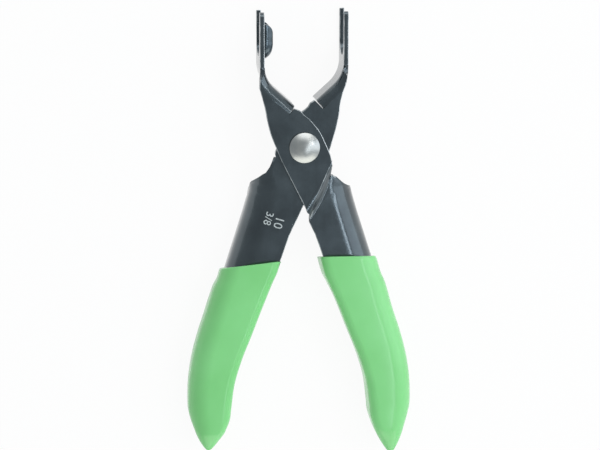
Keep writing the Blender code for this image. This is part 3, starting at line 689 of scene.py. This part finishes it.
for node_name, lever_name, body, stations, tip, slant, hand in (
        ("front_grip", "front_lever", "collar_side", FRONT_GRIP, FRONT_TIP, FRONT_SLANT, 1.0),
        ("rear_grip", "rear_lever", "fork_side", REAR_GRIP, REAR_TIP, REAR_SLANT, -1.0)):
    grip = show(node_name + "_sleeve", sleeve(node_name, stations, tip, slant, hand), vinyl)
    room = grown_copy(levers[lever_name], GRIP_POCKET_GAP)
    cutting = grip.modifiers.new("pocket", 'BOOLEAN')
    cutting.operation = 'DIFFERENCE'
    cutting.solver = 'EXACT'
    cutting.object = room
    mesh = bpy.data.meshes.new_from_object(grip.evaluated_get(bpy.context.evaluated_depsgraph_get()))
    grip.modifiers.clear()
    grip.data = mesh
    bpy.data.objects.remove(room, do_unlink=True)
    mesh.materials.clear()
    mesh.materials.append(vinyl)
    mesh.polygons.foreach_set("use_smooth", [True] * len(mesh.polygons))
    mesh.set_sharp_from_angle(angle=math.radians(KEPT_SHARP_DEGREES))
    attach(grip, body)
    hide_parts(node_name)

# Studio
# A white paper floor under a pale tent, with large soft lamps behind the handles, above the jaws and at the
# right. A small one lights the folds at the throat, and a narrow one draws the pale lines on the rolled handles.
FLOOR_HALF = 2.0
FLOOR_LEVEL = -0.0001
FLOOR_GLOW_SHARE = 0.93
PAPER_PULP_MM = 2.5
# Matt white paper: even and without a shine, its pulp barely to be seen. To the camera and in reflections most of
# it is plain white, and the rest keeps the tool's shadow.
white_floor, tree, shader = new_material("white_paper")
place = add_node(tree, "ShaderNodeTexCoord").outputs["Object"]
fibre = add_node(tree, "ShaderNodeTexNoise", {"Scale": 1000 / PAPER_PULP_MM, "Detail": 3.0},
                 {"Vector": place}).outputs["Fac"]
pulp = add_node(tree, "ShaderNodeValToRGB", {"stops": [(0.3, "#f2f2f2"), (0.7, "#f6f6f6")]}, {"Fac": fibre})
tree.links.new(pulp.outputs["Color"], shader.inputs["Base Color"])
shader.inputs["Roughness"].default_value = 0.9
shader.inputs["Specular IOR Level"].default_value = 0.0
glow = add_node(tree, "ShaderNodeEmission", {"Color": linear("#ffffff"), "Strength": 1.0})
path = add_node(tree, "ShaderNodeLightPath").outputs
seen = add_node(tree, "ShaderNodeMath", {"operation": "MAXIMUM"},
                {0: path["Is Camera Ray"], 1: path["Is Glossy Ray"]}).outputs[0]
seen = add_node(tree, "ShaderNodeMath", {"operation": "MAXIMUM"},
                {0: seen, 1: path["Is Transmission Ray"]}).outputs[0]
share = add_node(tree, "ShaderNodeMath", {"operation": "MULTIPLY", 1: FLOOR_GLOW_SHARE}, {0: seen}).outputs[0]
surface = add_node(tree, "ShaderNodeMixShader", links={0: share, 1: shader.outputs["BSDF"],
                                                       2: glow.outputs["Emission"]})
tree.links.new(surface.outputs["Shader"], tree.nodes["Material Output"].inputs["Surface"])
mesh = bpy.data.meshes.new("floor")
mesh.from_pydata([(x * FLOOR_HALF, y * FLOOR_HALF, FLOOR_LEVEL)
                  for x, y in ((-1, -1), (1, -1), (1, 1), (-1, 1))], [], [(0, 1, 2, 3)])
floor = show("floor", mesh, white_floor)


def soft_lamp(name, spot, size_x, size_y, power, colour):
    """A rectangular soft lamp at a place, turned towards the tool."""
    data = bpy.data.lights.new(name, 'AREA')
    data.shape = 'RECTANGLE'
    data.size = size_x
    data.size_y = size_y
    data.energy = power
    data.color = linear(colour)[:3]
    lamp = bpy.data.objects.new(name, data)
    lamp.location = spot
    lamp.rotation_mode = 'QUATERNION'
    lamp.rotation_quaternion = (-Vector(spot)).to_track_quat('-Z', 'Y')
    bpy.context.scene.collection.objects.link(lamp)


soft_lamp("lamp_handles", (0.10, -1.10, 0.52), 2.0, 0.65, 6.0, "#fffcf2")
soft_lamp("lamp_jaws", (0.15, 1.00, 0.75), 1.3, 0.6, 4.5, "#ffffff")
soft_lamp("lamp_right", (0.85, 0.05, 0.50), 0.60, 1.00, 2.3, "#f0f7ff")
soft_lamp("lamp_throat", (0.60, 0.29, 0.74), 0.30, 0.10, 0.50, "#ffffff")
soft_lamp("strip_right", (0.37, -0.13, 0.92), 0.60, 0.06, 1.00, "#eef7ff")
# The tent: pale round the sides, greyer overhead, and dimmer towards the left, so that the steel's flats stay dark
LEFT_STRENGTH = 0.62
sky = bpy.data.worlds.new("studio_tent")
bpy.context.scene.world = sky
sky.use_nodes = True
tree = sky.node_tree
way = add_node(tree, "ShaderNodeTexCoord").outputs["Generated"]
across, _, rise = add_node(tree, "ShaderNodeSeparateXYZ", links={0: way}).outputs
dimmer = add_node(tree, "ShaderNodeMapRange",
                  {"From Min": -1.0, "From Max": 0.0, "To Min": LEFT_STRENGTH, "To Max": 1.0},
                  {"Value": across}).outputs["Result"]
tree.links.new(dimmer, tree.nodes["Background"].inputs["Strength"])
tent = add_node(tree, "ShaderNodeValToRGB", {"stops": [(0.0, "#e6ecee"), (0.55, "#c4cace"), (1.0, "#a3a8ab")]},
                {"Fac": rise}).outputs["Color"]
tree.links.new(tent, tree.nodes["Background"].inputs["Color"])

# The camera looks down on the tool from the upper left, where the photograph was taken from
CAMERA_FROM_PIVOT = Vector((-0.104812, 0.146833, 0.882395 + FRONT_TOP))
CAMERA_RIGHT = Vector((0.993268, 0.0, 0.115839))
CAMERA_BACK = Vector((-0.113534, 0.198490, 0.973505))
camera_data = bpy.data.cameras.new("camera")
camera_data.lens = 128.6
camera_data.sensor_width = 36.0
camera_data.clip_start = 0.05
camera_data.clip_end = 20.0
camera = bpy.data.objects.new("camera", camera_data)
turn = Matrix((CAMERA_RIGHT, CAMERA_BACK.cross(CAMERA_RIGHT), CAMERA_BACK)).transposed().to_4x4()
camera.matrix_world = Matrix.Translation(PIVOT + CAMERA_FROM_PIVOT) @ turn
bpy.context.scene.collection.objects.link(camera)
bpy.context.scene.camera = camera
bpy.context.scene.view_settings.view_transform = 'Standard'
